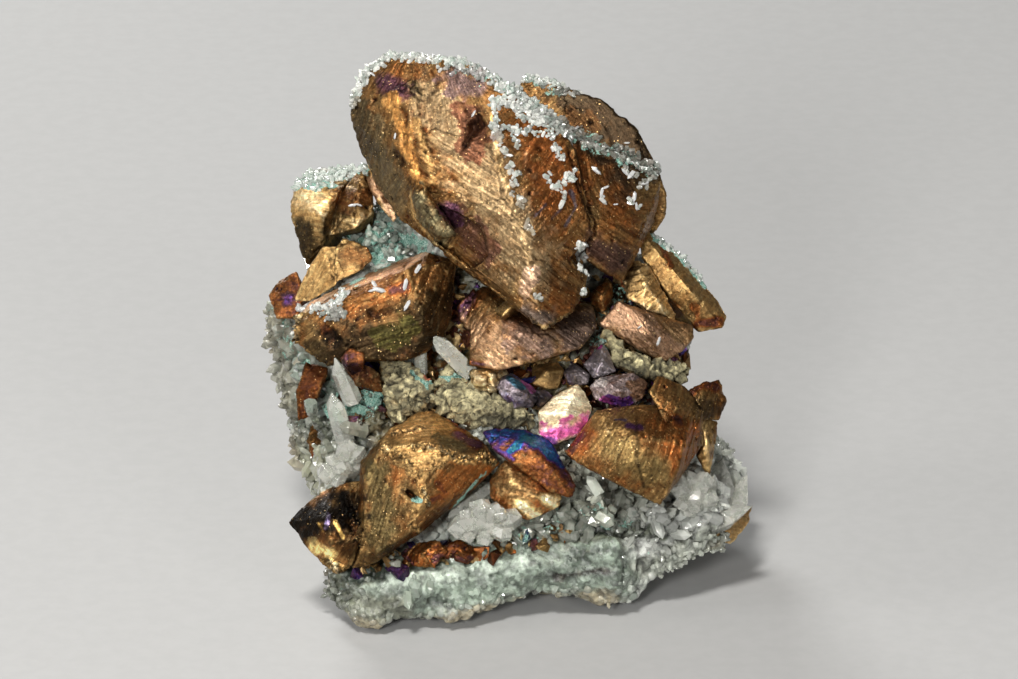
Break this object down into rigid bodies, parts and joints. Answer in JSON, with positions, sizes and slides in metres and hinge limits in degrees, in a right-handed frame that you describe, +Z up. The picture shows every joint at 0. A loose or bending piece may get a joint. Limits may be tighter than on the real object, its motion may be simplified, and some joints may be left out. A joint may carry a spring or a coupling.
{
  "type": "peacock ore specimen",
  "caption": "Tarnished metallic crystals, bronze, gold and blue-violet, grown over a rough mound of quartz with clear points; stands on a small flat spot.",
  "frame": {"origin": "middle of the flat spot the specimen rests on, at its underside", "axes": "+Z up, -Y towards the viewer of the picture, +X to their right"},
  "size_m": [0.0644, 0.0546, 0.0688],
  "materials": {
    "quartz": "milky, sugary quartz with a pale green crust and turquoise copper stain",
    "clear_quartz": "clear to milky quartz crystal, glossy faces",
    "bronze_chalcopyrite": "bronze-brown tarnished metal with fine growth lines and gold edges",
    "gold_chalcopyrite": "pale gold metallic crystal, striated, bright",
    "peacock_chalcopyrite": "metallic with blue, violet, magenta and teal tarnish",
    "olive_chalcopyrite": "dull olive, chalky and pitted crystal"
  },
  "bodies": {
    "root": {"barrel_crystal": "bronze_chalcopyrite", "bright_crystal": "gold_chalcopyrite", "corner_crystals": "bronze_chalcopyrite", "crown_crystals": "bronze_chalcopyrite", "far_right_quartz_point": "clear_quartz", "front_quartz_crystal": "clear_quartz", "grey_quartz_point": "clear_quartz", "left_blade_crystal": "bronze_chalcopyrite", "left_low_crystals": "bronze_chalcopyrite", "left_quartz_crystal": "clear_quartz", "left_summit_crystals": "gold_chalcopyrite", "long_pale_crystal": "gold_chalcopyrite", "low_right_quartz_point": "clear_quartz", "lower_slate_crystal": "peacock_chalcopyrite", "lower_smoky_quartz_point": "clear_quartz", "olive_crystals": "olive_chalcopyrite", "olive_ledge_crystals": "olive_chalcopyrite", "orange_crystals": "bronze_chalcopyrite", "pale_gold_crystal": "gold_chalcopyrite", "peacock_crystals": "peacock_chalcopyrite", "purple_side_crystal": "peacock_chalcopyrite", "quartz_matrix": "quartz", "rear_corner_crystal": "bronze_chalcopyrite", "rear_high_crystal": "peacock_chalcopyrite", "rear_left_crystals": "bronze_chalcopyrite", "rear_left_quartz_point": "clear_quartz", "rear_low_crystal": "gold_chalcopyrite", "rear_low_quartz_point": "clear_quartz", "rear_middle_quartz_point": "clear_quartz", "rear_right_crystals": "peacock_chalcopyrite", "rear_right_quartz_point": "clear_quartz", "rear_side_quartz_point": "clear_quartz", "rear_top_quartz_point": "clear_quartz", "red_crystals": "peacock_chalcopyrite", "right_edge_crystal": "gold_chalcopyrite", "right_front_crystals": "bronze_chalcopyrite", "right_quartz_crystal": "clear_quartz", "right_quartz_point": "clear_quartz", "right_shelf_crystal": "bronze_chalcopyrite", "right_side_crystals": "gold_chalcopyrite", "shield_crystal": "bronze_chalcopyrite", "small_quartz_point": "clear_quartz", "small_slate_crystal": "peacock_chalcopyrite", "striated_crystal": "gold_chalcopyrite", "tan_crystals": "gold_chalcopyrite", "tan_cube_crystal": "gold_chalcopyrite", "under_lobe_crystal": "bronze_chalcopyrite", "upper_right_quartz_point": "clear_quartz", "upper_slate_crystal": "peacock_chalcopyrite", "upper_smoky_quartz_point": "clear_quartz", "violet_crystals": "peacock_chalcopyrite", "white_quartz_point": "clear_quartz"}
  },
  "joints": []
}
